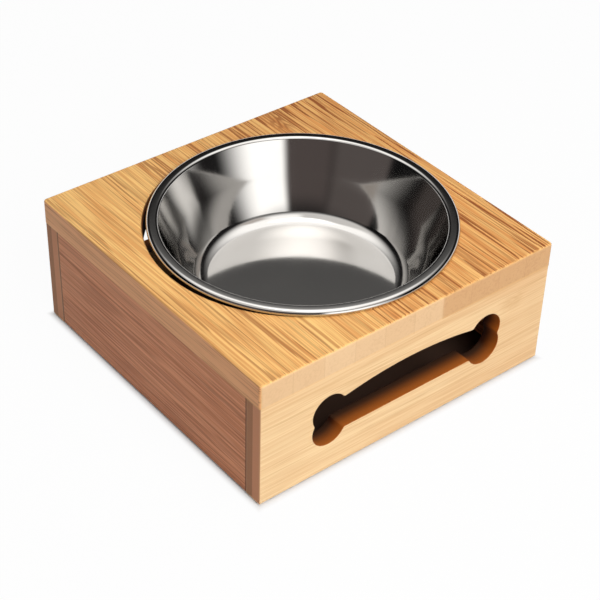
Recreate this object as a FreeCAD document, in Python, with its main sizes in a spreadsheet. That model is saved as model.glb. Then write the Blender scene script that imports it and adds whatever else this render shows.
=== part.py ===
# Raised feeding stand: a square open-bottomed bamboo box with a loose steel bowl in its top.
# The frame has its origin at the bottom centre, X along the slotted front, Y to the back, Z up.
import FreeCAD, Part
import os
import Sketcher

TURN = 360
HALF_TURN = 180
RIGHT_ANGLE = 90
TOUCH = 1e-4
ORIGIN_POINT = (-1, 1)
SIDE_START = 1
SIDE_END = 2
CENTRE = 3

# Driving dimensions in millimetres, and one angle in degrees
DIMENSIONS = {
    "stand_width": 200,
    "stand_depth": 200,
    "wall_height": 65,
    "wall_thickness": 12,
    "wall_edge_radius": 0.6,
    "top_thickness": 15,
    "top_overhang": 0.5,
    "top_corner_radius": 2,
    "top_edge_radius": 1.2,
    "hole_margin": 15.8,
    "hole_edge_radius": 1.2,
    "slot_lift": 1.5,
    "slot_knob_radius": 11,
    "slot_knob_reach": 55,
    "slot_knob_spacing": 11,
    "slot_floor_drop": 10,
    "slot_arch_rise": 15.8,
    "slot_arch_end_rise": 8.8,
    "slot_notch_radius": 2,
    "slot_edge_radius": 0.6,
    "dowel_radius": 3,
    "dowel_length": 22,
    "dowel_chamfer": 0.8,
    "dowel_fit": 0.05,
    "dowel_end_gap": 0.5,
    "dowel_depth_in_face": 7,
    "dowel_depth_in_top": 9,
    "corner_dowel_inset": 16.5,
    "face_dowel_inset": 20,
    "side_dowel_inset": 38,
    "pad_radius": 4.5,
    "pad_thickness": 1.5,
    "pad_edge_radius": 0.4,
    "pad_inset": 10,
    "bowl_sheet": 0.8,
    "bowl_floor_drop": 41,
    "bowl_floor_bend": 9,
    "bowl_wall_spread": 21.3,
    "bowl_mouth_bend": 2.2,
    "bowl_flange_width": 5.2,
    "bowl_rim_height": 3.8,
    "bowl_rim_bend": 2.4,
    "bowl_hem_inset": 1.2,
    "bowl_hem_height": 1.2,
    "bowl_play": 4.9,
    "bowl_side_gap": 0.35,
    "bowl_rest_angle": -33,
}

doc = FreeCAD.newDocument("pet_bowl_stand")
dims = doc.addObject("Spreadsheet::Sheet", "dims")
for row, (alias, number) in enumerate(DIMENSIONS.items(), start=1):
    dims.set("A%d" % row, alias)
    dims.set("B%d" % row, str(number))
    dims.setAlias("B%d" % row, alias)
doc.recompute()

# Places that several pieces share, as expressions on the sheet
HALF_WIDTH = "dims.stand_width / 2"
HALF_DEPTH = "dims.stand_depth / 2"
HALF_WALL = "dims.wall_thickness / 2"
HALF_SIDE = "(dims.stand_depth / 2 - dims.wall_thickness)"
WALL_TOP = "dims.pad_thickness + dims.wall_height"
DOWEL_HOLE = "dims.dowel_radius + dims.dowel_fit"
CORNER_DOWEL_X = "(dims.stand_width / 2 - dims.wall_thickness / 2)"
FACE_DOWEL_X = "(dims.stand_width / 2 - dims.face_dowel_inset)"
FACE_DOWEL_Y = "(dims.stand_depth / 2 - dims.wall_thickness / 2)"
SIDE_DOWEL_Y = "(%s - dims.side_dowel_inset)" % HALF_SIDE
DEPTH_IN_SIDE_END = "dims.dowel_length - dims.dowel_depth_in_face + dims.dowel_end_gap"
DEPTH_IN_WALL_TOP = "dims.dowel_length - dims.dowel_depth_in_top + dims.dowel_end_gap"
CORNER_DOWEL_LEVELS = {
    "low": "dims.corner_dowel_inset",
    "high": "(dims.wall_height - dims.corner_dowel_inset)",
}

# The hole leaves a margin of board all round, and the bowl's straight wall has play at its upper edge
HOLE_RADIUS = "(min(dims.stand_width; dims.stand_depth) / 2 - dims.hole_margin)"
BOWL_HEIGHT = "(dims.bowl_floor_drop + dims.bowl_sheet + dims.bowl_rim_height)"
NECK_DEPTH = "(dims.bowl_rim_height + dims.hole_edge_radius)"
NECK_RADIUS = "(%s - dims.bowl_play)" % HOLE_RADIUS
MOUTH_RADIUS = "(%s + dims.bowl_wall_spread * %s / %s)" % (NECK_RADIUS, NECK_DEPTH, BOWL_HEIGHT)
FLOOR_RADIUS = "(%s - dims.bowl_wall_spread)" % MOUTH_RADIUS

UP = FreeCAD.Vector(0, 0, 1)
ACROSS = FreeCAD.Vector(1, 0, 0)
UPRIGHT = FreeCAD.Rotation(UP, 0)
TURNED_BACK = FreeCAD.Rotation(UP, HALF_TURN)
TURNED_LEFT = FreeCAD.Rotation(UP, -RIGHT_ANGLE)
TURNED_RIGHT = FreeCAD.Rotation(UP, RIGHT_ANGLE)
LAID_BACK = FreeCAD.Rotation(ACROSS, -RIGHT_ANGLE)
bodies = []


def value(expression):
    """Number that an expression on the dimension sheet stands for."""
    return float(dims.evalExpression(expression))


def new_body(label, x, y, z, rotation=UPRIGHT):
    """Body whose own origin stands at the given place."""
    body = doc.addObject("PartDesign::Body", label)
    body.Label = label
    body.Placement.Rotation = rotation
    for axis, expression in zip("xyz", (x, y, z)):
        body.setExpression("Placement.Base." + axis, expression)
    bodies.append(body)
    return body


def new_sketch(body, name, role, offset="0"):
    """Sketch on one of the body's own origin planes, moved along that plane's normal."""
    sketch = body.newObject("Sketcher::SketchObject", name)
    plane = next(item for item in body.Origin.OriginFeatures if item.Role == role)
    sketch.AttachmentSupport = [(plane, "")]
    sketch.MapMode = "FlatFace"
    sketch.setExpression("AttachmentOffset.Base.z", offset)
    return sketch


def bind(sketch, expression, kind, *where):
    """Add a sized constraint whose value follows an expression."""
    index = sketch.addConstraint(Sketcher.Constraint(kind, *where, value(expression)))
    sketch.setExpression("Constraints[%d]" % index, expression)


def pin_point(sketch, geometry, end, place):
    """Hold one point of a sketch at a place given by two expressions."""
    for kind, expression in zip(("DistanceX", "DistanceY"), place):
        bind(sketch, expression, kind, *ORIGIN_POINT, geometry, end)


def point(place):
    return FreeCAD.Vector(value(place[0]), value(place[1]), 0)


def draw_outline(sketch, corners, arch=None):
    """Closed outline through the corners, counterclockwise; one side may be an arch."""
    followers = corners[1:] + corners[:1]
    for index, (corner, follower) in enumerate(zip(corners, followers)):
        side = Part.LineSegment(point(corner), point(follower))
        if arch and arch["side"] == index:
            side = Part.Arc(point(corner), point(arch["crown"]), point(follower))
        sketch.addGeometry(side, False)
    for index, corner in enumerate(corners):
        next_side = (index + 1) % len(corners)
        sketch.addConstraint(Sketcher.Constraint("Coincident", index, SIDE_END, next_side, SIDE_START))
        pin_point(sketch, index, SIDE_START, corner)
    if arch:
        bind(sketch, arch["radius"], "Radius", arch["side"])


def draw_circles(sketch, centres, radius):
    for index, centre in enumerate(centres):
        sketch.addGeometry(Part.Circle(point(centre), UP, value(radius)), False)
        pin_point(sketch, index, CENTRE, centre)
        bind(sketch, radius, "Radius", index)


def pad(body, sketch, name, length, reverse=False):
    feature = body.newObject("PartDesign::Pad", name)
    feature.Profile = sketch
    feature.setExpression("Length", length)
    feature.Reversed = reverse
    doc.recompute()


def pocket(body, sketch, name, depth=None, reverse=False):
    """Cut a sketch into the body, right through where no depth is given."""
    before = body.Tip.Shape.Volume
    feature = body.newObject("PartDesign::Pocket", name)
    feature.Profile = sketch
    feature.Reversed = reverse
    if depth:
        feature.setExpression("Length", depth)
    else:
        feature.Type = "ThroughAll"
    doc.recompute()
    if not feature.Shape.Volume < before:
        raise RuntimeError("%s cuts nothing" % name)


def revolve(body, sketch, name):
    feature = body.newObject("PartDesign::Revolution", name)
    feature.Profile = sketch
    feature.ReferenceAxis = (sketch, ["V_Axis"])
    feature.Angle = TURN
    doc.recompute()


def edges_where(shape, test):
    return ["Edge%d" % number for number, edge in enumerate(shape.Edges, start=1) if test(edge)]


def break_edges(body, name, kind, setting, size, test):
    """Round or chamfer every edge of the body that passes the test."""
    base = body.Tip
    names = edges_where(base.Shape, test)
    if not names:
        raise RuntimeError("%s finds no edge" % name)
    feature = body.newObject("PartDesign::" + kind, name)
    feature.Base = (base, names)
    feature.setExpression(setting, size)
    doc.recompute()


def round_edges(body, name, radius, test):
    break_edges(body, name, "Fillet", "Radius", radius, test)


def in_plane(edge, axis, level):
    box = edge.BoundBox
    low = getattr(box, axis + "Min")
    high = getattr(box, axis + "Max")
    return abs(low - level) < TOUCH and abs(high - level) < TOUCH


def runs_along(edge, axis):
    box = edge.BoundBox
    spans = {"X": box.XLength, "Y": box.YLength, "Z": box.ZLength}
    return all(span < TOUCH for name, span in spans.items() if name != axis)


def is_ring(edge, radius, level):
    """Full circle about the body's own Z axis, at a radius and a height."""
    round_edge = isinstance(edge.Curve, Part.Circle) and edge.isClosed()
    return round_edge and abs(edge.Curve.Radius - radius) < TOUCH and in_plane(edge, "Z", level)


def both_sides(x, y):
    return [("-" + x, y), (x, y)]


def rectangle(half_x, low_y, high_y):
    return [("-" + half_x, low_y), (half_x, low_y), (half_x, high_y), ("-" + half_x, high_y)]


# Top board: one laminated slab that lies over all four walls, with the round hole for the bowl
TOP_X = "(dims.stand_width / 2 + dims.top_overhang)"
TOP_Y = "(dims.stand_depth / 2 + dims.top_overhang)"
top = new_body("top_board", "0", "0", WALL_TOP)
top_outline = new_sketch(top, "top_outline", "XY_Plane")
draw_outline(top_outline, rectangle(TOP_X, "-" + TOP_Y, TOP_Y))
pad(top, top_outline, "top_slab", "dims.top_thickness")
round_edges(top, "top_corners", "dims.top_corner_radius", lambda edge: runs_along(edge, "Z"))
bowl_hole = new_sketch(top, "bowl_hole_outline", "XY_Plane")
draw_circles(bowl_hole, [("0", "0")], HOLE_RADIUS)
pocket(top, bowl_hole, "bowl_hole", reverse=True)
top_dowel_spots = new_sketch(top, "top_dowel_spots", "XY_Plane")
draw_circles(top_dowel_spots,
             both_sides(FACE_DOWEL_X, "-" + FACE_DOWEL_Y) + both_sides(FACE_DOWEL_X, FACE_DOWEL_Y)
             + both_sides(CORNER_DOWEL_X, "-" + SIDE_DOWEL_Y) + both_sides(CORNER_DOWEL_X, SIDE_DOWEL_Y),
             DOWEL_HOLE)
pocket(top, top_dowel_spots, "top_dowel_holes", "dims.dowel_depth_in_top + dims.dowel_end_gap", reverse=True)
top_level = value("dims.top_thickness")
hole_wall = value(HOLE_RADIUS)
hole_brim = value(HOLE_RADIUS + " + dims.hole_edge_radius")
round_edges(top, "hole_edge", "dims.hole_edge_radius", lambda edge: is_ring(edge, hole_wall, top_level))
round_edges(top, "top_edges", "dims.top_edge_radius",
            lambda edge: in_plane(edge, "Z", top_level) and not is_ring(edge, hole_brim, top_level))

# Front and back boards: full width, each with the bone-shaped finger slot right through
KNOB_X = "dims.slot_knob_reach"
SLOT_MIDDLE = "(dims.wall_height / 2 + dims.slot_lift)"
SLOT_FLOOR = SLOT_MIDDLE + " - dims.slot_floor_drop"
SLOT_ARCH_END = SLOT_MIDDLE + " + dims.slot_arch_end_rise"
KNOB_LEVELS = {
    "low": SLOT_MIDDLE + " - dims.slot_knob_spacing / 2",
    "high": SLOT_MIDDLE + " + dims.slot_knob_spacing / 2",
}
ARCH_BOW = "(dims.slot_arch_rise - dims.slot_arch_end_rise)"
ARCH_TOP_SIDE = 2
ARCH = {
    "side": ARCH_TOP_SIDE,
    "crown": ("0", SLOT_MIDDLE + " + dims.slot_arch_rise"),
    "radius": "(%s ^ 2 + %s ^ 2) / (2 * %s)" % (KNOB_X, ARCH_BOW, ARCH_BOW),
}


def inside_board(edge):
    """True for an edge of a face board that keeps clear of the board's outline."""
    box = edge.BoundBox
    reach = max(abs(box.XMin), abs(box.XMax))
    clear_across = reach < value(HALF_WIDTH) - TOUCH
    return clear_across and box.ZMin > TOUCH and box.ZMax < value("dims.wall_height") - TOUCH


def shows_outside(edge):
    """True for an outer edge of a wall board that stays in sight, also along a corner joint."""
    at_joint = in_plane(edge, "Y", value("dims.wall_thickness")) and runs_along(edge, "Z")
    return (in_plane(edge, "Y", 0) or at_joint) and not in_plane(edge, "Z", value("dims.wall_height"))


def slotted_board(label, y, rotation):
    """Board on its lower edge, its outer face at its own Y zero and its thickness towards +Y."""
    board = new_body(label, "0", y, "dims.pad_thickness", rotation)
    outline = new_sketch(board, label + "_outline", "XZ_Plane")
    draw_outline(outline, rectangle(HALF_WIDTH, "0", "dims.wall_height"))
    pad(board, outline, label + "_slab", "dims.wall_thickness", reverse=True)
    shaft = new_sketch(board, label + "_slot_shaft", "XZ_Plane")
    draw_outline(shaft, rectangle(KNOB_X, SLOT_FLOOR, SLOT_ARCH_END), ARCH)
    pocket(board, shaft, label + "_shaft_cut")
    for level, height in KNOB_LEVELS.items():
        knobs = new_sketch(board, "%s_slot_knobs_%s" % (label, level), "XZ_Plane")
        draw_circles(knobs, both_sides(KNOB_X, height), "dims.slot_knob_radius")
        pocket(board, knobs, "%s_knob_cut_%s" % (label, level))
    round_edges(board, label + "_slot_notches", "dims.slot_notch_radius",
                lambda edge: runs_along(edge, "Y") and inside_board(edge))
    round_edges(board, label + "_slot_edges", "dims.slot_edge_radius",
                lambda edge: inside_board(edge) and not runs_along(edge, "Y"))
    round_edges(board, label + "_edges", "dims.wall_edge_radius",
                lambda edge: shows_outside(edge) and not inside_board(edge))
    corner_spots = new_sketch(board, label + "_corner_spots", "XZ_Plane", "-dims.wall_thickness")
    draw_circles(corner_spots, [spot for height in CORNER_DOWEL_LEVELS.values()
                                for spot in both_sides(CORNER_DOWEL_X, height)], DOWEL_HOLE)
    pocket(board, corner_spots, label + "_corner_holes",
           "dims.dowel_depth_in_face + dims.dowel_end_gap", reverse=True)
    top_spots = new_sketch(board, label + "_top_spots", "XY_Plane", "dims.wall_height")
    draw_circles(top_spots, both_sides(FACE_DOWEL_X, HALF_WALL), DOWEL_HOLE)
    pocket(board, top_spots, label + "_top_holes", DEPTH_IN_WALL_TOP)


slotted_board("front_board", "-" + HALF_DEPTH, UPRIGHT)
slotted_board("back_board", HALF_DEPTH, TURNED_BACK)


# Left and right boards: plain, held between the front and back boards
def side_board(label, x, rotation):
    """Board on its lower edge, its outer face at its own Y zero and its length along its own X."""
    board = new_body(label, x, "0", "dims.pad_thickness", rotation)
    outline = new_sketch(board, label + "_outline", "XZ_Plane")
    draw_outline(outline, rectangle(HALF_SIDE, "0", "dims.wall_height"))
    pad(board, outline, label + "_slab", "dims.wall_thickness", reverse=True)
    round_edges(board, label + "_edges", "dims.wall_edge_radius",
                lambda edge: in_plane(edge, "Y", 0) and shows_outside(edge))
    for end, sign, reverse in (("first", "-", True), ("last", "", False)):
        end_spots = new_sketch(board, "%s_%s_spots" % (label, end), "YZ_Plane", sign + HALF_SIDE)
        draw_circles(end_spots, [(HALF_WALL, height) for height in CORNER_DOWEL_LEVELS.values()], DOWEL_HOLE)
        pocket(board, end_spots, "%s_%s_holes" % (label, end), DEPTH_IN_SIDE_END, reverse)
    top_spots = new_sketch(board, label + "_top_spots", "XY_Plane", "dims.wall_height")
    draw_circles(top_spots, both_sides(SIDE_DOWEL_Y, HALF_WALL), DOWEL_HOLE)
    pocket(board, top_spots, label + "_top_holes", DEPTH_IN_WALL_TOP)


side_board("left_board", "-" + HALF_WIDTH, TURNED_LEFT)
side_board("right_board", HALF_WIDTH, TURNED_RIGHT)


# Dowels: hidden glued pins, across each corner joint and up into the top board
def dowel(label, x, y, z, rotation=UPRIGHT):
    body = new_body(label, x, y, z, rotation)
    pin = body.newObject("PartDesign::AdditiveCylinder", label + "_pin")
    pin.setExpression("Radius", "dims.dowel_radius")
    pin.setExpression("Height", "dims.dowel_length")
    doc.recompute()
    break_edges(body, label + "_ends", "Chamfer", "Size", "dims.dowel_chamfer", lambda edge: edge.isClosed())


CORNER_DOWEL_STARTS = {
    "front": "-(%s + dims.dowel_depth_in_face)" % HALF_SIDE,
    "back": "%s + dims.dowel_depth_in_face - dims.dowel_length" % HALF_SIDE,
}
TOP_DOWEL_START = WALL_TOP + " + dims.dowel_depth_in_top - dims.dowel_length"
for end, end_sign in (("front", "-"), ("back", "")):
    for side, side_sign in (("left", "-"), ("right", "")):
        for level, height in CORNER_DOWEL_LEVELS.items():
            dowel("corner_dowel_%s_%s_%s" % (end, side, level), side_sign + CORNER_DOWEL_X,
                  CORNER_DOWEL_STARTS[end], "dims.pad_thickness + " + height, LAID_BACK)
        dowel("top_dowel_%s_%s" % (end, side), side_sign + FACE_DOWEL_X, end_sign + FACE_DOWEL_Y,
              TOP_DOWEL_START)
        dowel("top_dowel_%s_%s" % (side, end), side_sign + CORNER_DOWEL_X, end_sign + SIDE_DOWEL_Y,
              TOP_DOWEL_START)


# Foot pads: soft discs under the ends of the front and back boards
def foot_pad(label, x, y):
    body = new_body(label, x, y, "0")
    disc = body.newObject("PartDesign::AdditiveCylinder", label + "_disc")
    disc.setExpression("Radius", "dims.pad_radius")
    disc.setExpression("Height", "dims.pad_thickness")
    doc.recompute()
    round_edges(body, label + "_edge", "dims.pad_edge_radius",
                lambda edge: is_ring(edge, value("dims.pad_radius"), 0))


PAD_X = "(dims.stand_width / 2 - dims.pad_inset)"
for end, end_sign in (("front", "-"), ("back", "")):
    for side, side_sign in (("left", "-"), ("right", "")):
        foot_pad("foot_pad_%s_%s" % (end, side), side_sign + PAD_X, end_sign + FACE_DOWEL_Y)

# Bowl: pressed steel sheet with a flat floor, a conical wall, a flat flange and a hem turned under.
# It hangs loose by the hem and lies to one side of the hole, as far as its wall lets it.
BOWL_SHIFT = "(dims.bowl_play - dims.bowl_side_gap)"
FLOOR_UNDERSIDE = "-(dims.bowl_floor_drop + dims.bowl_sheet)"
RIM_UNDERSIDE = "dims.bowl_rim_height - dims.bowl_sheet"
RIM_RADIUS = "(%s + dims.bowl_flange_width)" % MOUTH_RADIUS
RIM_INSIDE = RIM_RADIUS + " - dims.bowl_sheet"
HEM_RADIUS = RIM_RADIUS + " - dims.bowl_hem_inset"
bowl = new_body("bowl", BOWL_SHIFT + " * cos(dims.bowl_rest_angle)",
                BOWL_SHIFT + " * sin(dims.bowl_rest_angle)", WALL_TOP + " + dims.top_thickness")
cup = new_sketch(bowl, "cup_section", "XZ_Plane")
draw_outline(cup, [("0", FLOOR_UNDERSIDE), (FLOOR_RADIUS, FLOOR_UNDERSIDE),
                   (MOUTH_RADIUS, "dims.bowl_rim_height"), ("0", "dims.bowl_rim_height")])
revolve(bowl, cup, "cup_form")
floor_level = value(FLOOR_UNDERSIDE)
rim_level = value("dims.bowl_rim_height")
flange_level = value(RIM_UNDERSIDE)
mouth_size = value(MOUTH_RADIUS)
round_edges(bowl, "floor_bend", "dims.bowl_floor_bend + dims.bowl_sheet",
            lambda edge: is_ring(edge, value(FLOOR_RADIUS), floor_level))
cup_form = bowl.Tip
mouth = ["Face%d" % number for number, face in enumerate(cup_form.Shape.Faces, start=1)
         if abs(face.CenterOfMass.z - rim_level) < TOUCH]
cup_sheet = bowl.newObject("PartDesign::Thickness", "cup_sheet")
cup_sheet.Base = (cup_form, mouth)
cup_sheet.setExpression("Value", "dims.bowl_sheet")
cup_sheet.Reversed = True
doc.recompute()
rim = new_sketch(bowl, "rim_section", "XZ_Plane")
draw_outline(rim, [(MOUTH_RADIUS + " - dims.bowl_sheet", RIM_UNDERSIDE), (RIM_INSIDE, RIM_UNDERSIDE),
                   (RIM_INSIDE, "dims.bowl_hem_height"), (HEM_RADIUS + " - dims.bowl_sheet", "0"),
                   (HEM_RADIUS, "0"), (RIM_RADIUS, "dims.bowl_hem_height"),
                   (RIM_RADIUS, "dims.bowl_rim_height"),
                   (MOUTH_RADIUS + " - dims.bowl_sheet / 2", "dims.bowl_rim_height")])
revolve(bowl, rim, "rim_form")
round_edges(bowl, "mouth_bend", "dims.bowl_mouth_bend",
            lambda edge: in_plane(edge, "Z", rim_level) and edge.Curve.Radius < mouth_size)
round_edges(bowl, "mouth_under_bend", "dims.bowl_mouth_bend - dims.bowl_sheet",
            lambda edge: in_plane(edge, "Z", flange_level) and edge.Curve.Radius < mouth_size)
round_edges(bowl, "rim_bend", "dims.bowl_rim_bend",
            lambda edge: is_ring(edge, value(RIM_RADIUS), rim_level))
round_edges(bowl, "rim_under_bend", "dims.bowl_rim_bend - dims.bowl_sheet",
            lambda edge: is_ring(edge, value(RIM_INSIDE), flange_level))

# Every object has to be sound before any file is written
doc.recompute()
broken = [item.Name for item in doc.Objects if "Invalid" in item.State or "Error" in item.State]
broken += [body.Label for body in bodies if body.Shape.isNull() or not body.Shape.isValid()]
broken += [body.Label for body in bodies if len(body.Shape.Solids) != 1]
if broken:
    raise RuntimeError("unsound: " + ", ".join(broken))
os.makedirs("parts", exist_ok=True)
for body in bodies:
    body.Shape.exportStep("parts/%s.step" % body.Label)
    print("%-28s %10.1f mm3" % (body.Label, body.Shape.Volume))
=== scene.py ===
# Pet bowl stand: a bamboo box on four pads, with a loose steel bowl hanging in the hole of its top.
import bpy
import math
from mathutils import Matrix, Vector


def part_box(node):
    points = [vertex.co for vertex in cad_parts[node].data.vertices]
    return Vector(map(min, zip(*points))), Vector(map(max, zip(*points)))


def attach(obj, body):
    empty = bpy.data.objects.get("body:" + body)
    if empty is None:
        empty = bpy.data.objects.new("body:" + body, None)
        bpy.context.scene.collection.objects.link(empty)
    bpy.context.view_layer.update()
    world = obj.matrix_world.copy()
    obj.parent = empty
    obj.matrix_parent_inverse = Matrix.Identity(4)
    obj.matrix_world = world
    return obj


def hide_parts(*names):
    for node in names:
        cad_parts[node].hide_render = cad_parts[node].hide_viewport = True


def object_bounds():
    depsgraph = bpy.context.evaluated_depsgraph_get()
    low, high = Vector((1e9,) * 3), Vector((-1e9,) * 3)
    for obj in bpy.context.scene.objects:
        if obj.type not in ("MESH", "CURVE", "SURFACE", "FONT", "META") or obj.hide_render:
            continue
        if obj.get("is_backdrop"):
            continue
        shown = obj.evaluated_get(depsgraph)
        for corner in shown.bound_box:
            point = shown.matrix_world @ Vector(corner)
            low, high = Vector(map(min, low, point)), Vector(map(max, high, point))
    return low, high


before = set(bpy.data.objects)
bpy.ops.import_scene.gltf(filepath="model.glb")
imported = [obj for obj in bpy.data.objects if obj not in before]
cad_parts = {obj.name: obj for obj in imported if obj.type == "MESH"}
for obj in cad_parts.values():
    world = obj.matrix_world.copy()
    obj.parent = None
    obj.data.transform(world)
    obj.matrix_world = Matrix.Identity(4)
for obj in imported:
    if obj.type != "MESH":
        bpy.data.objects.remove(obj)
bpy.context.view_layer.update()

# Front and back boards: full-width bamboo boards on edge, each with a bone-shaped slot routed through.
# They are laminated from strips that run from side to side, sanded and sealed with satin lacquer.
# The router has scorched the walls of the slots brown.
FACE_LOTS = {"front_board": 3.0, "back_board": 41.0}
CREAM = (0.865, 0.62, 0.338, 1)
HONEY = (0.745, 0.465, 0.227, 1)
CREAM_FIBRE = (0.50, 0.235, 0.075, 1)
CREAM_EDGE = (0.80, 0.50, 0.25, 1)
END_ROSE = (0.565, 0.235, 0.108, 1)
END_OLIVE = (0.36, 0.145, 0.055, 1)
SCORCH = (0.352, 0.083, 0.003, 1)
CHAR_AND_PAINTED_SHADE = (0.013, 0.0005, 0.0, 1)
GLUE_AND_PAINTED_GROOVE_SHADE = (0.15, 0.075, 0.045, 1)
WALL_STRIP_WIDTH = 0.0225
FACE_STRIP_SHIFT = 0.0075
JOINT_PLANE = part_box("left_board")[1].y
JOINT_CORE, JOINT_REACH = 0.0002, 0.0010
ARRIS = 0.0016
NOISE_ROUGHNESS = 0.55


def add_node(tree, kind, inputs=None, **settings):
    """Place a node, set its properties, and link or fill its inputs."""
    node = tree.nodes.new(kind)
    for key, setting in settings.items():
        setattr(node, key, setting)
    for key, feed in (inputs or {}).items():
        if isinstance(feed, bpy.types.NodeSocket):
            tree.links.new(feed, node.inputs[key])
        else:
            node.inputs[key].default_value = feed
    return node


def calculate(tree, operation, *feeds):
    """Result of a math node on sockets or numbers."""
    return add_node(tree, "ShaderNodeMath", dict(enumerate(feeds)), operation=operation).outputs[0]


def product(tree, first, *others):
    """All the factors multiplied."""
    for other in others:
        first = calculate(tree, "MULTIPLY", first, other)
    return first


def combine(tree, operation, *feeds):
    """Result of a vector math node on sockets or triples."""
    return add_node(tree, "ShaderNodeVectorMath", dict(enumerate(feeds)), operation=operation).outputs[0]


def length(tree, feed):
    """Length of a vector."""
    return add_node(tree, "ShaderNodeVectorMath", {0: feed}, operation="LENGTH").outputs["Value"]


def split(tree, feed):
    """The three axes of a vector."""
    return add_node(tree, "ShaderNodeSeparateXYZ", {0: feed}).outputs


def join(tree, *feeds):
    """A vector from its axes."""
    return add_node(tree, "ShaderNodeCombineXYZ", dict(enumerate(feeds))).outputs[0]


def ramp(tree, feed, low, high):
    """Smooth step of a value from 0 at low to 1 at high."""
    inputs = {"Value": feed, "From Min": low, "From Max": high}
    return add_node(tree, "ShaderNodeMapRange", inputs, interpolation_type="SMOOTHSTEP").outputs["Result"]


def fade(tree, feed, low, high):
    """Smooth step of a value from 1 at low to 0 at high."""
    return calculate(tree, "SUBTRACT", 1, ramp(tree, feed, low, high))


def blend_colours(tree, share, first, second):
    """First colour where the share is 0, second where it is 1."""
    inputs = {"Factor": share, 6: first, 7: second}
    return add_node(tree, "ShaderNodeMix", inputs, data_type="RGBA").outputs[2]


def noise(tree, vector, across, along, detail):
    """Noise with its own number of features per metre across the fibres and along them."""
    stretched = combine(tree, "MULTIPLY", vector, (across, along, across))
    inputs = {"Vector": stretched, "Scale": 1, "Detail": detail, "Roughness": NOISE_ROUGHNESS}
    return add_node(tree, "ShaderNodeTexNoise", inputs).outputs["Fac"]


def new_group(name, inputs, outputs):
    """Shader node group with named sockets: its tree, its inputs and a function that sets an output."""
    tree = bpy.data.node_groups.new(name, "ShaderNodeTree")
    for socket, kind in inputs.items():
        tree.interface.new_socket(socket, in_out="INPUT", socket_type="NodeSocket" + kind)
    for socket, kind in outputs.items():
        tree.interface.new_socket(socket, in_out="OUTPUT", socket_type="NodeSocket" + kind)
    feeds = tree.nodes.new("NodeGroupInput").outputs
    results = tree.nodes.new("NodeGroupOutput").inputs
    return tree, feeds, lambda socket, feed: tree.links.new(feed, results[socket])


def use_group(tree, group, inputs):
    """Outputs of a group placed in a tree."""
    return add_node(tree, "ShaderNodeGroup", inputs, node_tree=group).outputs


def new_material(name):
    """Material with its node tree and its main shader."""
    material = bpy.data.materials.new(name)
    material.use_nodes = True
    return material, material.node_tree, material.node_tree.nodes["Principled BSDF"]


# Strips: the tint of each strip, the glue line beside it, and a vector that jumps from strip to strip
STRIP_JUMP = (0.3, 2.0, 0.3)
SEAM_SHARE = 0.02
HALF_STRIP = 0.5
strips, strips_in, strips_out = new_group(
    "bamboo_strips",
    {"Vector": "Vector", "Width": "Float", "Shift": "Float", "Lot": "Float"},
    {"Tint": "Float", "Seam": "Float", "Vector": "Vector"},
)
strip_across = calculate(strips, "ADD", split(strips, strips_in["Vector"])[0], strips_in["Shift"])
strip_place = calculate(strips, "DIVIDE", strip_across, strips_in["Width"])
strip_number = calculate(strips, "ADD", calculate(strips, "FLOOR", strip_place), strips_in["Lot"])
strip_lot = add_node(strips, "ShaderNodeTexWhiteNoise", {"W": strip_number}, noise_dimensions="1D").outputs
strip_jump = combine(strips, "MULTIPLY", strip_lot["Color"], STRIP_JUMP)
strips_out("Tint", strip_lot["Value"])
from_seam = calculate(strips, "PINGPONG", strip_place, HALF_STRIP)
strips_out("Seam", fade(strips, from_seam, 0.0, SEAM_SHARE))
strips_out("Vector", combine(strips, "ADD", strips_in["Vector"], strip_jump))

# Fibres: dark bundles that show as dashes, gathered in places, over fine streaks, soft bands and a haze.
# Each grain gives the features per metre across the fibres and along them, and their detail.
GATHER_GRAIN = (80, 7, 1.0)
GATHER_RANGE = (0.36, 0.64)
GATHER_PULL = 0.17
DASH_GRAIN = (620, 14, 1.0)
DASH_RANGE = (0.68, 0.735)
LINE_GRAIN = (860, 15, 1.0)
LINE_RANGE = (0.50, 0.64)
STREAK_GRAIN = (760, 14, 2.0)
HAIR_GRAIN = (1300, 26, 1.0)
STREAK_RANGE = (0.87, 1.13)
BAND_GRAIN = (230, 5, 2.0)
BAND_RANGE = (0.42, 0.70)
HAZE_GRAIN = (48, 6, 2.0)
HAZE_RANGE = (0.3, 0.7)
fibres, fibres_in, fibres_out = new_group(
    "bamboo_fibres",
    {"Vector": "Vector", "Coverage": "Float"},
    {"Dashes": "Float", "Lines": "Float", "Streaks": "Float", "Bands": "Float", "Haze": "Float"},
)
fibre_spot = fibres_in["Vector"]
gather = ramp(fibres, noise(fibres, fibre_spot, *GATHER_GRAIN), *GATHER_RANGE)
allowed = product(fibres, gather, fibres_in["Coverage"], GATHER_PULL)
bundles = calculate(fibres, "ADD", noise(fibres, fibre_spot, *DASH_GRAIN), allowed)
hairs = noise(fibres, fibre_spot, *HAIR_GRAIN)
fine = calculate(fibres, "ADD", noise(fibres, fibre_spot, *STREAK_GRAIN), hairs)
fibres_out("Dashes", ramp(fibres, bundles, *DASH_RANGE))
fibres_out("Lines", ramp(fibres, noise(fibres, fibre_spot, *LINE_GRAIN), *LINE_RANGE))
fibres_out("Streaks", ramp(fibres, fine, *STREAK_RANGE))
fibres_out("Bands", ramp(fibres, noise(fibres, fibre_spot, *BAND_GRAIN), *BAND_RANGE))
fibres_out("Haze", ramp(fibres, noise(fibres, fibre_spot, *HAZE_GRAIN), *HAZE_RANGE))

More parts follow.
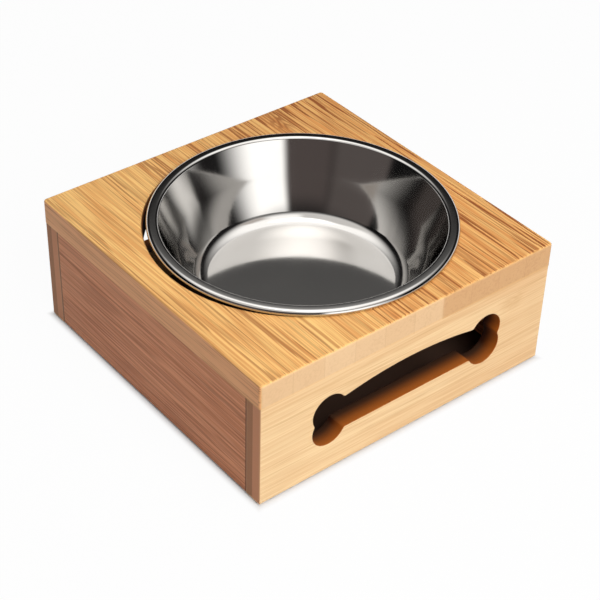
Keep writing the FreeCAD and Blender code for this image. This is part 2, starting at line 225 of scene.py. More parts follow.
# Knuckles: the joints of the cane, which cross a strip as a soft wavy line in a darker band
KNUCKLE_SPACING = 0.62
KNUCKLE_WAVE = 0.007
KNUCKLE_WAVE_GRAIN = (75, 20, 1.0)
KNUCKLE_LINE = (0.0003, 0.0016)
KNUCKLE_BAND = (0.001, 0.008)
KNUCKLE_BAND_SHARE = 0.5
knuckles, knuckles_in, knuckles_out = new_group("bamboo_knuckles", {"Vector": "Vector"}, {"Mark": "Float"})
wave = product(knuckles, noise(knuckles, knuckles_in["Vector"], *KNUCKLE_WAVE_GRAIN), KNUCKLE_WAVE)
knuckle_place = calculate(knuckles, "ADD", split(knuckles, knuckles_in["Vector"])[1], wave)
from_knuckle = calculate(knuckles, "PINGPONG", knuckle_place, KNUCKLE_SPACING / 2)
knuckle_line = fade(knuckles, from_knuckle, *KNUCKLE_LINE)
knuckle_band = product(knuckles, fade(knuckles, from_knuckle, *KNUCKLE_BAND), KNUCKLE_BAND_SHARE)
knuckles_out("Mark", calculate(knuckles, "MAXIMUM", knuckle_line, knuckle_band))

# Board edges: how near a point is to a board's arrises, and how deep it lies inside the board's outline
outline, outline_in, outline_out = new_group(
    "board_outline",
    {"Vector": "Vector", "Low": "Vector", "High": "Vector", "Width": "Float"},
    {"Arris": "Float", "Inside": "Vector", "Above": "Vector"},
)
above = combine(outline, "SUBTRACT", outline_in["Vector"], outline_in["Low"])
below = combine(outline, "SUBTRACT", outline_in["High"], outline_in["Vector"])
inside = combine(outline, "MINIMUM", above, below)
gap_x, gap_y, gap_z = split(outline, inside)
nearer = calculate(outline, "MINIMUM", gap_x, gap_y)
farther = calculate(outline, "MAXIMUM", gap_x, gap_y)
middle = calculate(outline, "MAXIMUM", nearer, calculate(outline, "MINIMUM", farther, gap_z))
outline_out("Arris", fade(outline, calculate(outline, "DIVIDE", middle, outline_in["Width"]), 0.0, 1.0))
outline_out("Inside", inside)
outline_out("Above", above)

# Lacquered bamboo: the finish of all five boards, from the groups above and each board's own tones and grain
FACING_TURN = (0.55, 0.85)
EDGE_SHARE = 0.8
END_MARK_LOSS = 0.88
PATCH_GRAIN = (120, 60, 2.0)
PATCH_RAGGED = 0.9
PATCH_EDGE = (0.6, 1.6)
FLAME_GRAIN = (260, 60, 2.0)
FLAME_RAGGED = 1.2
FLAME_SLOPE = 1.5
FLAME_COUNT = 1.7
HALF_FLAME = 0.5
FLAME_RANGE = (0.12, 0.38)
GLUE_FACING = (0.75, 0.95)
SATIN = 0.42
MARK_ROUGHER = 0.15
END_ROUGHER = 0.12
ROUTED_ROUGHER = 0.58
ROUTED_BORDER = (0.002, 0.004)
ROUTED_FACING = (0.5, 0.9)
ROUTED_SHARE = 0.97
SINGED_AND_PAINTED_SHADOW_RING = (0.0002, 0.0010)
SINGED_AND_PAINTED_SHADOW_SHARE = 0.85
SEAM_DEPTH = 0.6
RELIEF_STRENGTH = 0.3
RELIEF_DEPTH = 0.00015


def wild_figure(tree, turned, patch):
    """Mask of one patch where the fibres run wild and show as nested flames."""
    away = combine(tree, "DIVIDE", combine(tree, "SUBTRACT", turned, patch["centre"]), patch["reach"])
    far = calculate(tree, "MULTIPLY_ADD", noise(tree, turned, *PATCH_GRAIN), PATCH_RAGGED, length(tree, away))
    aside, forward = split(tree, away)[:2]
    cone = calculate(tree, "MULTIPLY_ADD", calculate(tree, "ABSOLUTE", aside), FLAME_SLOPE, forward)
    cone = calculate(tree, "MULTIPLY_ADD", noise(tree, turned, *FLAME_GRAIN), FLAME_RAGGED, cone)
    flame = calculate(tree, "PINGPONG", product(tree, cone, FLAME_COUNT), HALF_FLAME)
    flame = ramp(tree, flame, *FLAME_RANGE)
    wild = calculate(tree, "MULTIPLY_ADD", flame, patch["rings"], 1 - patch["rings"])
    return product(tree, fade(tree, far, *PATCH_EDGE), wild, patch["strength"])


def bamboo(name, node, order, strip, tones, grain):
    """Lacquered bamboo; the axes in order run across the strips, along the fibres and through the board."""
    material, tree, shader = new_material(name)
    across, along, through = ("XYZ".index(axis) for axis in order)
    low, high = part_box(node)
    spot = add_node(tree, "ShaderNodeTexCoord").outputs
    place = split(tree, spot["Object"])
    turned = join(tree, place[across], place[along], place[through])
    facing = split(tree, combine(tree, "ABSOLUTE", spot["Normal"]))
    on_end = ramp(tree, facing[along], *FACING_TURN)
    on_edge = ramp(tree, facing[across], *FACING_TURN)
    on_face = calculate(tree, "SUBTRACT", 1, calculate(tree, "MAXIMUM", on_end, on_edge))
    border = use_group(tree, outline, {"Vector": spot["Object"], "Low": low, "High": high, "Width": ARRIS})
    inset = split(tree, border["Inside"])
    raised = split(tree, border["Above"])
    laid = use_group(tree, strips, {"Vector": turned, **strip})
    figure = use_group(tree, fibres, {"Vector": laid["Vector"], "Coverage": grain["coverage"]})
    knuckle = use_group(tree, knuckles, {"Vector": laid["Vector"]})

    # Ground colour: strips, haze and streaks, with its own tone on the ends and narrow edges
    # Painted light and shade: the ground tone slopes across each board. The top and face boards get darker to
    # the right, and the side boards get lighter upward.
    painted_light_slope = {0: spot["Object"], 1: grain["painted_light_slope"]}
    tone = add_node(tree, "ShaderNodeVectorMath", painted_light_slope, operation="DOT_PRODUCT").outputs["Value"]
    grounds = ((laid["Tint"], "strips"), (figure["Haze"], "haze"), (figure["Streaks"], "streaks"))
    for feature, share in grounds:
        tone = calculate(tree, "MULTIPLY_ADD", feature, grain[share], tone)
    body = blend_colours(tree, tone, tones["light"], tones["deep"])
    end_share = ramp(tree, raised[through if grain["layered"] else across], *grain["end_change"])
    end_share = calculate(tree, "MULTIPLY_ADD", laid["Tint"], grain["end_tint"], end_share)
    body = blend_colours(tree, on_end, body, blend_colours(tree, end_share, tones["end"], tones["end_deep"]))
    body = blend_colours(tree, product(tree, on_edge, EDGE_SHARE), body, tones["edge"])

    # Marks: dashes, bands, knuckles, and one patch of wild figure where the board has it
    marks = product(tree, knuckle["Mark"], on_face, grain["knuckles"])
    for feature, share in (("Dashes", "dashes"), ("Lines", "lines"), ("Bands", "bands")):
        marks = calculate(tree, "MAXIMUM", marks, product(tree, figure[feature], grain[share]))
    if grain["patch"]:
        wild = wild_figure(tree, turned, grain["patch"])
        marks = calculate(tree, "MAXIMUM", marks, product(tree, wild, on_face))
    marks = product(tree, marks, calculate(tree, "MULTIPLY_ADD", on_end, -END_MARK_LOSS, 1))
    marks = product(tree, marks, calculate(tree, "MULTIPLY_ADD", place[0], grain["bolder"], 1))
    body = blend_colours(tree, marks, body, tones["fibre"])
    body = blend_colours(tree, product(tree, laid["Seam"], grain["seams"]), body, tones["fibre"])
    # Lighter along the arrises: partly worn edges, partly a painted highlight.
    body = blend_colours(tree, product(tree, border["Arris"], grain["arris"]), body, tones["light"])

    # Glue lines at the corner joints of the walls, partly glue and partly painted shade in the grooves there
    if grain["glue_and_painted_groove_shade"]:
        beside = calculate(tree, "SUBTRACT", calculate(tree, "ABSOLUTE", place[1]), JOINT_PLANE)
        beside = calculate(tree, "ABSOLUTE", beside)
        glue_and_painted_groove_shade = product(tree, fade(tree, beside, JOINT_CORE, JOINT_REACH), fade(tree, facing[1], *GLUE_FACING))
        body = blend_colours(tree, product(tree, glue_and_painted_groove_shade, grain["glue_and_painted_groove_shade"]), body, GLUE_AND_PAINTED_GROOVE_SHADE)

    # Routed walls: matt and scorched brown at the outer face. Deeper in they darken with painted shade
    dull = calculate(tree, "MULTIPLY_ADD", marks, MARK_ROUGHER, SATIN)
    dull = calculate(tree, "MULTIPLY_ADD", on_end, END_ROUGHER, dull)
    if grain["routed"]:
        within = product(tree, *(ramp(tree, inset[axis], *ROUTED_BORDER) for axis in (across, along)))
        routed = product(tree, within, fade(tree, facing[through], *ROUTED_FACING))
        sunk = calculate(tree, "SUBTRACT", max(abs(low[through]), abs(high[through])),
                         calculate(tree, "ABSOLUTE", place[through]))
        scorch_and_painted_shade = blend_colours(tree, ramp(tree, sunk, *grain["routed"]), SCORCH, CHAR_AND_PAINTED_SHADE)
        body = blend_colours(tree, product(tree, routed, ROUTED_SHARE), body, scorch_and_painted_shade)
        dull = calculate(tree, "MULTIPLY_ADD", routed, ROUTED_ROUGHER, dull)
    # Dark ring on the top round the hole's edge: partly singed wood, partly painted shadow under the bowl's
    # rim.
    if grain["hole"]:
        from_axis = length(tree, join(tree, place[0], place[1]))
        singed_and_painted_shadow = fade(tree, from_axis, *(grain["hole"] + step for step in SINGED_AND_PAINTED_SHADOW_RING))
        body = blend_colours(tree, product(tree, singed_and_painted_shadow, on_face, SINGED_AND_PAINTED_SHADOW_SHARE), body, CHAR_AND_PAINTED_SHADE)
    tree.links.new(body, shader.inputs["Base Color"])
    tree.links.new(dull, shader.inputs["Roughness"])
    relief = calculate(tree, "MAXIMUM", marks, product(tree, laid["Seam"], SEAM_DEPTH))
    dents = {"Height": relief, "Strength": RELIEF_STRENGTH, "Distance": RELIEF_DEPTH}
    bump = add_node(tree, "ShaderNodeBump", dents, invert=True)
    tree.links.new(bump.outputs[0], shader.inputs["Normal"])
    shader.inputs["Specular IOR Level"].default_value = grain["shine"]
    return material


def dress(node, material):
    """Give a node of the frame its finish."""
    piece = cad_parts[node]
    piece.data.materials.clear()
    piece.data.materials.append(material)


FACE_TONES = {"light": CREAM, "deep": HONEY, "fibre": CREAM_FIBRE, "edge": CREAM_EDGE, "end": END_ROSE,
              "end_deep": END_OLIVE}
FACE_GRAIN = {
    "coverage": 0.4, "strips": 0.25, "haze": 0.3, "streaks": 0.5, "painted_light_slope": (2.2, 0, 0), "dashes": 0.34,
    "lines": 0.16, "bands": 0.14, "knuckles": 0.0, "seams": 0.10, "arris": 0.25, "glue_and_painted_groove_shade": 0.8, "shine": 0.3,
    "layered": True, "end_change": (0.0062, 0.0068), "end_tint": 0.0, "routed": (0.0, 0.0105), "hole": None,
    "bolder": 0.0,
    "patch": {"centre": (0.054, 0.074, -0.1), "reach": (0.008, 0.013, 1), "strength": 0.34, "rings": 0.3},
}
for board, lot in FACE_LOTS.items():
    strip = {"Width": WALL_STRIP_WIDTH, "Shift": FACE_STRIP_SHIFT, "Lot": lot}
    dress(board, bamboo(board + "_bamboo", board, "ZXY", strip, FACE_TONES, FACE_GRAIN))

# Left and right boards: plain boards dowelled between the front and back ones, flush with their ends.
# Their strips run from front to back. Their tones are darker and redder than the face boards', partly as
# painted shade for the shaded left side.
SIDE_LOTS = {"left_board": 11.0, "right_board": 67.0}
SIDE_STRIP_SHIFT = 0.012
# Painted shade: ROSE and RUSSET are darker and redder than the face boards' tones, to stand in for the shade
# on the left side.
ROSE = (0.74, 0.305, 0.137, 1)
RUSSET = (0.53, 0.172, 0.056, 1)
RUSSET_FIBRE = (0.27, 0.08, 0.03, 1)
SIDE_TONES = {"light": ROSE, "deep": RUSSET, "fibre": RUSSET_FIBRE, "edge": RUSSET, "end": RUSSET,
              "end_deep": RUSSET}
SIDE_GRAIN = {
    "coverage": 0.6, "strips": 0.3, "haze": 0.3, "streaks": 0.8, "painted_light_slope": (0, 0, -8), "dashes": 0.55,
    "lines": 0.42, "bands": 0.24, "knuckles": 0.0, "seams": 0.12, "arris": 0.0, "glue_and_painted_groove_shade": 0.8, "shine": 0.2,
    "layered": True, "end_change": (0.0062, 0.0068), "end_tint": 0.0, "routed": None, "hole": None,
    "bolder": 0.0, "patch": None,
}
for board, lot in SIDE_LOTS.items():
    strip = {"Width": WALL_STRIP_WIDTH, "Shift": SIDE_STRIP_SHIFT, "Lot": lot}
    dress(board, bamboo(board + "_bamboo", board, "ZYX", strip, SIDE_TONES, SIDE_GRAIN))

# Dowels: turned hardwood pins, glued into the corner joints and up into the top, so none shows outside.
# Bare wood with a plain straight grain along each pin.
PIN_LIGHT = (0.78, 0.60, 0.38, 1)
PIN_DARK = (0.60, 0.41, 0.22, 1)
PIN_ROUGHNESS = 0.7
pin_wood, pin_tree, pin_shader = new_material("dowel_hardwood")
pin_spot = add_node(pin_tree, "ShaderNodeTexCoord").outputs["Object"]
pin_grain = use_group(pin_tree, fibres, {"Vector": pin_spot})
pin_colour = blend_colours(pin_tree, pin_grain["Haze"], PIN_LIGHT, PIN_DARK)
pin_tree.links.new(pin_colour, pin_shader.inputs["Base Color"])
pin_shader.inputs["Roughness"].default_value = PIN_ROUGHNESS
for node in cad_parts:
    if "dowel" in node:
        dress(node, pin_wood)

# Top board: one laminated slab, glued down over all four walls, with the hole that the bowl hangs in.
# Its strips run from front to back and show the most figure, with dark dashes in an orange ground.
# The hole is routed. Its wall is scorched like the slots and gets darker deeper down with painted shade. A
# dark ring round its edge on the top is partly singed wood and partly a painted shadow of the bowl's rim.
TOP_STRIP_WIDTH = 0.0201
TOP_LOT = 7.0
HOLE_RADIUS = 0.0842
AMBER = (0.98, 0.61, 0.216, 1)
TOFFEE = (0.69, 0.265, 0.067, 1)
TOP_FIBRE = (0.30, 0.085, 0.016, 1)
# Painted shade: TOP_EDGE, on the narrow side edges, is darker and redder than AMBER, to stand in for the dim
# light on the left edge.
TOP_EDGE = (0.90, 0.415, 0.183, 1)
TOP_END = (0.76, 0.51, 0.285, 1)
TOP_END_TAN = (0.63, 0.36, 0.165, 1)
TOP_TONES = {"light": AMBER, "deep": TOFFEE, "fibre": TOP_FIBRE, "edge": TOP_EDGE, "end": TOP_END,
             "end_deep": TOP_END_TAN}
TOP_GRAIN = {
    "coverage": 1.0, "strips": 0.2, "haze": 0.14, "streaks": 0.52, "painted_light_slope": (1.7, -0.2, 0), "dashes": 0.8,
    "lines": 0.48, "bands": 0.2, "knuckles": 0.15, "seams": 0.14, "arris": 0.25, "glue_and_painted_groove_shade": None, "shine": 0.3,
    "layered": False, "end_change": (0.1190, 0.1225), "end_tint": 0.25, "routed": (-0.002, 0.006),
    "hole": HOLE_RADIUS, "bolder": 3.0,
    "patch": {"centre": (0.058, 0.088, 0.0815), "reach": (0.010, 0.018, 1), "strength": 0.7, "rings": 0.75},
}
top_strip = {"Width": TOP_STRIP_WIDTH, "Shift": 0.0, "Lot": TOP_LOT}
dress("top_board", bamboo("top_bamboo", "top_board", "XYZ", top_strip, TOP_TONES, TOP_GRAIN))

# Foot pads: self-adhesive rubber discs under the ends of the front and back boards.
# They keep the box off a wet floor and stop it sliding.
RUBBER_BLACK = (0.016, 0.016, 0.017, 1)
RUBBER_DUST = (0.05, 0.048, 0.045, 1)
RUBBER_ROUGHNESS = 0.75
DUST_GRAIN = (900, 900, 3.0)
DUST_RANGE = (0.45, 0.75)
rubber, rubber_tree, rubber_shader = new_material("pad_rubber")
rubber_spot = add_node(rubber_tree, "ShaderNodeTexCoord").outputs["Object"]
dust = ramp(rubber_tree, noise(rubber_tree, rubber_spot, *DUST_GRAIN), *DUST_RANGE)
rubber_colour = blend_colours(rubber_tree, dust, RUBBER_BLACK, RUBBER_DUST)
rubber_tree.links.new(rubber_colour, rubber_shader.inputs["Base Color"])
rubber_shader.inputs["Roughness"].default_value = RUBBER_ROUGHNESS
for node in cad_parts:
    if node.startswith("foot_pad"):
        dress(node, rubber)

# Bowl: pressed from one disc of stainless sheet. Its wall leans out and curves in to the flat floor,
# and its rim is a narrow flange with a hem that is rolled under.
# It is polished like a mirror, hangs loose by the hem and lifts straight out.
bowl_low, bowl_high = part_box("bowl")
BOWL_CENTRE = (bowl_low + bowl_high) / 2
RIM_RADIUS = (bowl_high.x - bowl_low.x) / 2
RIM_TOP = bowl_high.z
BOWL_UNDER = bowl_low.z
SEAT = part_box("top_board")[1].z
SHEET = 0.0008
FLANGE_WIDTH = 0.0056
FOOT_BEND = 0.0105
FOOT_RADIUS = 0.0587
BELLY_BEND = 0.12
TOP_LEAN, FOOT_LEAN = math.radians(22.4), math.radians(33)
MOUTH_BEND = 0.0021
RIM_BEND = 0.0024
HEM_INSET = 0.0012
HEM_HEIGHT = 0.0012
HEM_BEND = 0.0004
LIP_BEND = 0.0002
BEND_STEPS = 14
TURN_STEPS = 224
SMOOTH_ANGLE = math.radians(40)
MERGE_DISTANCE = 1e-6
MOUTH_RADIUS = RIM_RADIUS - FLANGE_WIDTH
HEM_LEVEL = SEAT + HEM_HEIGHT


def bent_line(corners, bends, steps):
    """Points of a line through the corners, with each inner corner rounded to its own radius."""
    points = [corners[0]]
    for before, corner, after, radius in zip(corners, corners[1:], corners[2:], bends):
        arrive = (corner - before).normalized()
        leave = (after - corner).normalized()
        turn = arrive.angle_signed(leave)
        start = corner - arrive * radius * math.tan(abs(turn) / 2)
        side = Vector((arrive.y, -arrive.x)) * math.copysign(1, turn)
        hub = start + side * radius
        for step in range(steps + 1):
            points.append(hub + Matrix.Rotation(-turn * step / steps, 2) @ (start - hub))
    points.append(corners[-1])
    return points


def belly(mouth, foot):
    """Corner where the upper wall's line, from the mouth, meets the lower wall's line, from the foot."""
    spread = foot.x - mouth.x + (mouth.y - foot.y) * math.tan(FOOT_LEAN)
    drop = spread / (math.tan(FOOT_LEAN) - math.tan(TOP_LEAN))
    return Vector((mouth.x - drop * math.tan(TOP_LEAN), mouth.y - drop))


foot_inside = Vector((FOOT_RADIUS, BOWL_UNDER + SHEET))
foot_outside = Vector((FOOT_RADIUS + SHEET / math.cos(FOOT_LEAN) - SHEET * math.tan(FOOT_LEAN), BOWL_UNDER))
mouth_inside = Vector((MOUTH_RADIUS - SHEET / math.cos(TOP_LEAN), RIM_TOP))
mouth_outside = Vector((MOUTH_RADIUS - SHEET * math.tan(TOP_LEAN), RIM_TOP - SHEET))
profile = bent_line(
    [Vector((0, BOWL_UNDER + SHEET)),
     foot_inside,
     belly(mouth_inside, foot_inside),
     mouth_inside,
     Vector((RIM_RADIUS, RIM_TOP)),
     Vector((RIM_RADIUS, HEM_LEVEL)),
     Vector((RIM_RADIUS - HEM_INSET, SEAT)),
     Vector((RIM_RADIUS - HEM_INSET - SHEET, SEAT)),
     Vector((RIM_RADIUS - SHEET, HEM_LEVEL)),
     Vector((RIM_RADIUS - SHEET, RIM_TOP - SHEET)),
     mouth_outside,
     belly(mouth_outside, foot_outside),
     foot_outside,
     Vector((0, BOWL_UNDER))],
    [FOOT_BEND, BELLY_BEND, MOUTH_BEND, RIM_BEND, HEM_BEND, LIP_BEND, LIP_BEND, HEM_BEND,
     RIM_BEND - SHEET, MOUTH_BEND - SHEET, BELLY_BEND + SHEET, FOOT_BEND + SHEET],
    BEND_STEPS)


def spun_piece(name, points, centre, steps):
    """Solid of revolution: the profile is drawn corner by corner and spun about a standing axis."""
    bpy.ops.object.select_all(action="DESELECT")
    bpy.ops.mesh.primitive_plane_add(size=1)
    piece = bpy.context.object
    piece.name = name
    bpy.ops.object.mode_set(mode="EDIT")
    bpy.ops.mesh.select_all(action="SELECT")
    bpy.ops.mesh.merge(type="CENTER")
    places = [Vector((centre.x + point.x, centre.y, point.y)) for point in points]
    bpy.ops.transform.translate(value=places[0])
    for here, there in zip(places, places[1:]):
        bpy.ops.mesh.extrude_region_move(TRANSFORM_OT_translate={"value": there - here})
    bpy.ops.mesh.select_all(action="SELECT")
    bpy.ops.mesh.spin(steps=steps, angle=math.tau, center=(centre.x, centre.y, 0), axis=(0, 0, 1))
    bpy.ops.mesh.select_all(action="SELECT")
    bpy.ops.mesh.remove_doubles(threshold=MERGE_DISTANCE)
    bpy.ops.mesh.normals_make_consistent(inside=False)
    bpy.ops.object.mode_set(mode="OBJECT")
    bpy.ops.object.shade_smooth_by_angle(angle=SMOOTH_ANGLE)
    return piece


bowl = spun_piece("bowl_pressed_steel", profile, BOWL_CENTRE, TURN_STEPS)
STEEL = (0.60, 0.592, 0.58, 1)
STEEL_WARM = (0.555, 0.543, 0.525, 1)
SMEAR_GRAIN = (38, 38, 4.0)
DRAWN_GRAIN = (60, 4.0, 3.0)
WEAR_LEAST, WEAR_MOST = 0.6, 1.4
POLISH_BEST, POLISH_WORST = 0.05, 0.11
steel, steel_tree, steel_shader = new_material("bowl_polished_steel")
steel_shader.inputs["Metallic"].default_value = 1.0
steel_spot = add_node(steel_tree, "ShaderNodeTexCoord").outputs["Object"]
steel_about = combine(steel_tree, "SUBTRACT", steel_spot, BOWL_CENTRE)
steel_x, steel_y, steel_z = split(steel_tree, steel_about)
bearing = calculate(steel_tree, "ARCTAN2", steel_y, steel_x)
smear = noise(steel_tree, steel_about, *SMEAR_GRAIN)
drawn = noise(steel_tree, join(steel_tree, bearing, steel_z), *DRAWN_GRAIN)
steel_tree.links.new(blend_colours(steel_tree, smear, STEEL, STEEL_WARM), steel_shader.inputs["Base Color"])
worn = {"Value": calculate(steel_tree, "ADD", smear, drawn), "From Min": WEAR_LEAST, "From Max": WEAR_MOST,
        "To Min": POLISH_BEST, "To Max": POLISH_WORST}
polish = add_node(steel_tree, "ShaderNodeMapRange", worn)
steel_tree.links.new(polish.outputs["Result"], steel_shader.inputs["Roughness"])
bowl.data.materials.append(steel)
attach(bowl, "bowl")
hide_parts("bowl")

# Studio floor: a pale sheet that shows as white directly and in reflections, with a faint shadow on it.
# Under the stand the floor is painted dark, as painted shade.
FLOOR_SIZE = 12.0
FLOOR_PAINT = (0.72, 0.72, 0.72, 1)
FLOOR_PAINTED_SHADE = (0.09, 0.053, 0.038, 1)
FLOOR_WHITE_SHARE = 0.96
HALF_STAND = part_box("front_board")[1].x
UNDER_WALLS = (HALF_STAND - 0.010, HALF_STAND - 0.002)
CLEAR_OF_WALLS = (HALF_STAND - 0.002, HALF_STAND + 0.004)
WHITE = (1, 1, 1, 1)
bpy.ops.object.select_all(action="DESELECT")
bpy.ops.mesh.primitive_plane_add(size=FLOOR_SIZE, location=(0, 0, 0))
floor = bpy.context.object
floor.name = "studio_floor"


def bare_material(name):
    """Material with an empty node tree, for a surface that mixes its own shaders."""
    material, tree = new_material(name)[:2]
    tree.nodes.clear()
    return material, tree


def seen_directly(tree):
    """1 for rays from the camera, a mirror or glass, and 0 for light that bounces."""
    rays = add_node(tree, "ShaderNodeLightPath").outputs
    mirrored = calculate(tree, "MAXIMUM", rays["Is Glossy Ray"], rays["Is Transmission Ray"])
    return calculate(tree, "MAXIMUM", rays["Is Camera Ray"], mirrored)


floor_paint, floor_tree = bare_material("floor_white")
floor_place = add_node(floor_tree, "ShaderNodeTexCoord").outputs["Object"]
floor_x, floor_y = split(floor_tree, combine(floor_tree, "ABSOLUTE", floor_place))[:2]
floor_reach = calculate(floor_tree, "MAXIMUM", floor_x, floor_y)
out_of_painted_shade = ramp(floor_tree, floor_reach, *UNDER_WALLS)
clear_of_stand = ramp(floor_tree, floor_reach, *CLEAR_OF_WALLS)
white_share = product(floor_tree, seen_directly(floor_tree), clear_of_stand, FLOOR_WHITE_SHARE)
# Painted shade: the floor colour goes dark under the walls and inside them.
floor_colour = blend_colours(floor_tree, out_of_painted_shade, FLOOR_PAINTED_SHADE, FLOOR_PAINT)
floor_matt = add_node(floor_tree, "ShaderNodeBsdfDiffuse", {"Color": floor_colour})
floor_glow = add_node(floor_tree, "ShaderNodeEmission", {"Color": WHITE, "Strength": 1})
floor_mix = add_node(floor_tree, "ShaderNodeMixShader",
                     {0: white_share, 1: floor_matt.outputs[0], 2: floor_glow.outputs[0]})
add_node(floor_tree, "ShaderNodeOutputMaterial", {"Surface": floor_mix.outputs[0]})
floor.data.materials.append(floor_paint)
floor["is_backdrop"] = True

# Studio room: a plain white room, which the camera sees at its full white.
# On everything else it sheds a low even light.
ROOM_LIGHT = 0.16
world = bpy.data.worlds.new("studio_room")
bpy.context.scene.world = world
world.use_nodes = True
room = world.node_tree
room.nodes.clear()
room_level = calculate(room, "MULTIPLY_ADD", seen_directly(room), 1 - ROOM_LIGHT, ROOM_LIGHT)
room_white = add_node(room, "ShaderNodeBackground", {"Color": WHITE, "Strength": room_level})
add_node(room, "ShaderNodeOutputWorld", {"Surface": room_white.outputs[0]})

# Studio lamps: a large soft box to the front and a wide one overhead, aimed at the foot of the stand.
# Reflections don't show them.
KEY_LAMP = {"azimuth": -98, "elevation": 44, "distance": 1.5, "size": 0.9, "watts": 20}
TOP_LAMP = {"azimuth": -60, "elevation": 82, "distance": 1.5, "size": 1.2, "watts": 6.5}


def lamp(name, azimuth, elevation, distance, size, watts):
    """Square soft lamp that looks at the stand from a bearing and a height in degrees."""
    light = bpy.data.lights.new(name, "AREA")
    light.size = size
    light.energy = watts
    thing = bpy.data.objects.new(name, light)
    bpy.context.scene.collection.objects.link(thing)
    turn, rise = math.radians(azimuth), math.radians(elevation)
    out = Vector((math.cos(turn) * math.cos(rise), math.sin(turn) * math.cos(rise), math.sin(rise)))
    thing.location = out * distance
    thing.rotation_euler = out.to_track_quat("Z", "Y").to_euler()
    thing.visible_glossy = False


lamp("key_lamp", **KEY_LAMP)
lamp("top_lamp", **TOP_LAMP)

# Studio walls: dark cloth round the set that shows only in reflections, with lighter and darker panels.
# Bearings run counterclockwise from +X and heights upwards, both in degrees.
CLOTH_DISTANCE = 2.5
CLOTH_RISE = math.radians(72)
CLOTH_TOP = RIM_TOP + CLOTH_DISTANCE * math.tan(CLOTH_RISE)
CLOTH_STEPS = 96
DARK_CLOTH = (0.018, 0.017, 0.017, 1)
OVERHEAD = (1.72, 1.69, 1.65, 1)
OVERHEAD_START, OVERHEAD_FULL = 32, 62
PANELS = [
    # Dimmer stretch of the light above, to the left of the camera
    {"span": (-225, -126), "soft": (30, 16), "rise": (44, 80), "shade": (0.95, 0.92, 0.89, 1)},
    # Brown cloth to the left of the camera
    {"span": (-200, -152), "soft": (8, 14), "rise": (-12, 31), "shade": (0.132, 0.112, 0.106, 1)},
    # Brown cloth round the camera
    {"span": (-152, -113), "soft": (14, 8), "rise": (-12, 27), "shade": (0.116, 0.094, 0.089, 1)},
    # Black cloth to the left of the stand
    {"span": (108, 158), "soft": (10, 8), "rise": (-12, 34), "shade": (0.009, 0.009, 0.009, 1)},
    # Bright window to the right of the camera
    {"span": (-113, -72), "soft": (8, 34), "rise": (-12, 31), "shade": (1.9, 1.87, 1.83, 1)},
    # Dimmer stretch of the light above, past the window
    {"span": (-78, -48), "soft": (14, 10), "rise": (42, 60), "shade": (0.75, 0.68, 0.63, 1)},
    # Lamp straight above
    {"span": (-200, 200), "soft": (1, 1), "rise": (79, 110), "shade": (3.3, 3.24, 3.17, 1)},
    # Pale foot of the backdrop behind the stand
    {"span": (-30, 120), "soft": (30, 30), "rise": (-40, 6), "shade": (1.6, 1.57, 1.54, 1)},
]
PANEL_SOFT_RISE = 8
HALF_TURN = 180
wall_line = [Vector((CLOTH_DISTANCE, 0)), Vector((CLOTH_DISTANCE, CLOTH_TOP)), Vector((0, CLOTH_TOP))]
walls = spun_piece("studio_walls", wall_line, Vector((0, 0, 0)), CLOTH_STEPS)
cloth, cloth_tree = bare_material("studio_cloth")
wall_x, wall_y, wall_z = split(cloth_tree, add_node(cloth_tree, "ShaderNodeTexCoord").outputs["Object"])
wall_bearing = calculate(cloth_tree, "DEGREES", calculate(cloth_tree, "ARCTAN2", wall_y, wall_x))
wall_away = length(cloth_tree, join(cloth_tree, wall_x, wall_y))
wall_rise = calculate(cloth_tree, "ARCTAN2", calculate(cloth_tree, "SUBTRACT", wall_z, RIM_TOP), wall_away)
wall_height = calculate(cloth_tree, "DEGREES", wall_rise)
overhead_share = ramp(cloth_tree, wall_height, OVERHEAD_START, OVERHEAD_FULL)
wall_colour = blend_colours(cloth_tree, overhead_share, DARK_CLOTH, OVERHEAD)
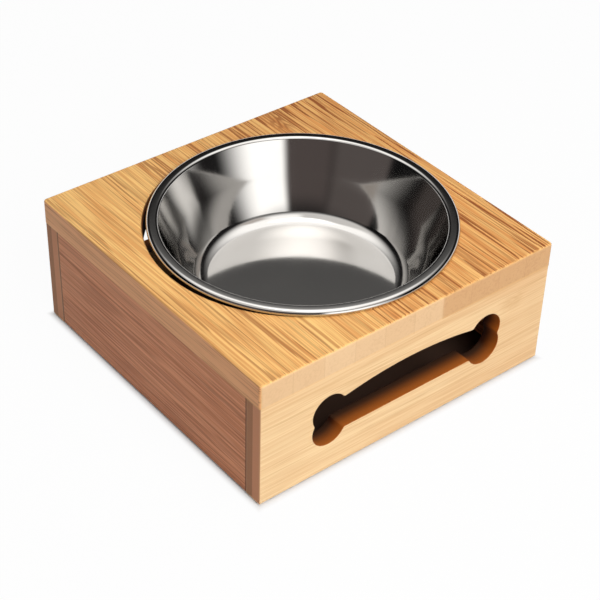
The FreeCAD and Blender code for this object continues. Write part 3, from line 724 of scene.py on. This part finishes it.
for panel in PANELS:
    start, end = panel["span"]
    low, high = panel["rise"]
    aside = calculate(cloth_tree, "SUBTRACT", wall_bearing, (start + end) / 2)
    aside = calculate(cloth_tree, "WRAP", aside, HALF_TURN, -HALF_TURN)
    half, soft_start, soft_end = (end - start) / 2, panel["soft"][0] / 2, panel["soft"][1] / 2
    past_start = ramp(cloth_tree, aside, -half - soft_start, -half + soft_start)
    before_end = fade(cloth_tree, aside, half - soft_end, half + soft_end)
    over = ramp(cloth_tree, wall_height, low - PANEL_SOFT_RISE, low + PANEL_SOFT_RISE)
    under = fade(cloth_tree, wall_height, high - PANEL_SOFT_RISE, high + PANEL_SOFT_RISE)
    lit = product(cloth_tree, past_start, before_end, over, under)
    wall_colour = blend_colours(cloth_tree, lit, wall_colour, panel["shade"])
cloth_glow = add_node(cloth_tree, "ShaderNodeEmission", {"Color": wall_colour, "Strength": 1})
add_node(cloth_tree, "ShaderNodeOutputMaterial", {"Surface": cloth_glow.outputs[0]})
walls.data.materials.append(cloth)
walls.visible_camera = False
walls.visible_diffuse = False
walls.visible_shadow = False
walls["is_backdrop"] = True

# Camera: where the photograph was taken from, found from the corners of the stand in the picture.
# The offset runs from the lens to the foot of the wood, along the picture's right, up and backward axes.
VIEW_AZIMUTH, VIEW_ELEVATION, VIEW_ROLL = (math.radians(angle) for angle in (-39.6, 37.78, 1.8))
VIEW_OFFSET = Vector((-0.00477, -0.01949, -0.94344))
WOOD_FOOT = Vector((0, 0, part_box("front_board")[0].z))
IMAGE_WIDTH = 600
FOCAL_PIXELS = 1618.27
SENSOR = 36.0
camera = bpy.data.objects.new("camera", bpy.data.cameras.new("camera"))
bpy.context.scene.collection.objects.link(camera)
camera.data.sensor_width = SENSOR
camera.data.lens = FOCAL_PIXELS * SENSOR / IMAGE_WIDTH
backward = Vector((math.sin(VIEW_AZIMUTH) * math.cos(VIEW_ELEVATION),
                   -math.cos(VIEW_AZIMUTH) * math.cos(VIEW_ELEVATION), math.sin(VIEW_ELEVATION)))
level_right = Vector((0, 0, 1)).cross(backward).normalized()
level_up = backward.cross(level_right)
right = level_right * math.cos(VIEW_ROLL) + level_up * math.sin(VIEW_ROLL)
up = level_up * math.cos(VIEW_ROLL) - level_right * math.sin(VIEW_ROLL)
view_turn = Matrix((right, up, backward)).transposed()
camera.matrix_world = Matrix.Translation(WOOD_FOOT - view_turn @ VIEW_OFFSET) @ view_turn.to_4x4()
bpy.context.scene.camera = camera
bpy.context.scene.view_settings.view_transform = "Standard"

# Box of the dressed scene, without the floor and studio walls
bpy.context.view_layer.update()
low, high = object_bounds()
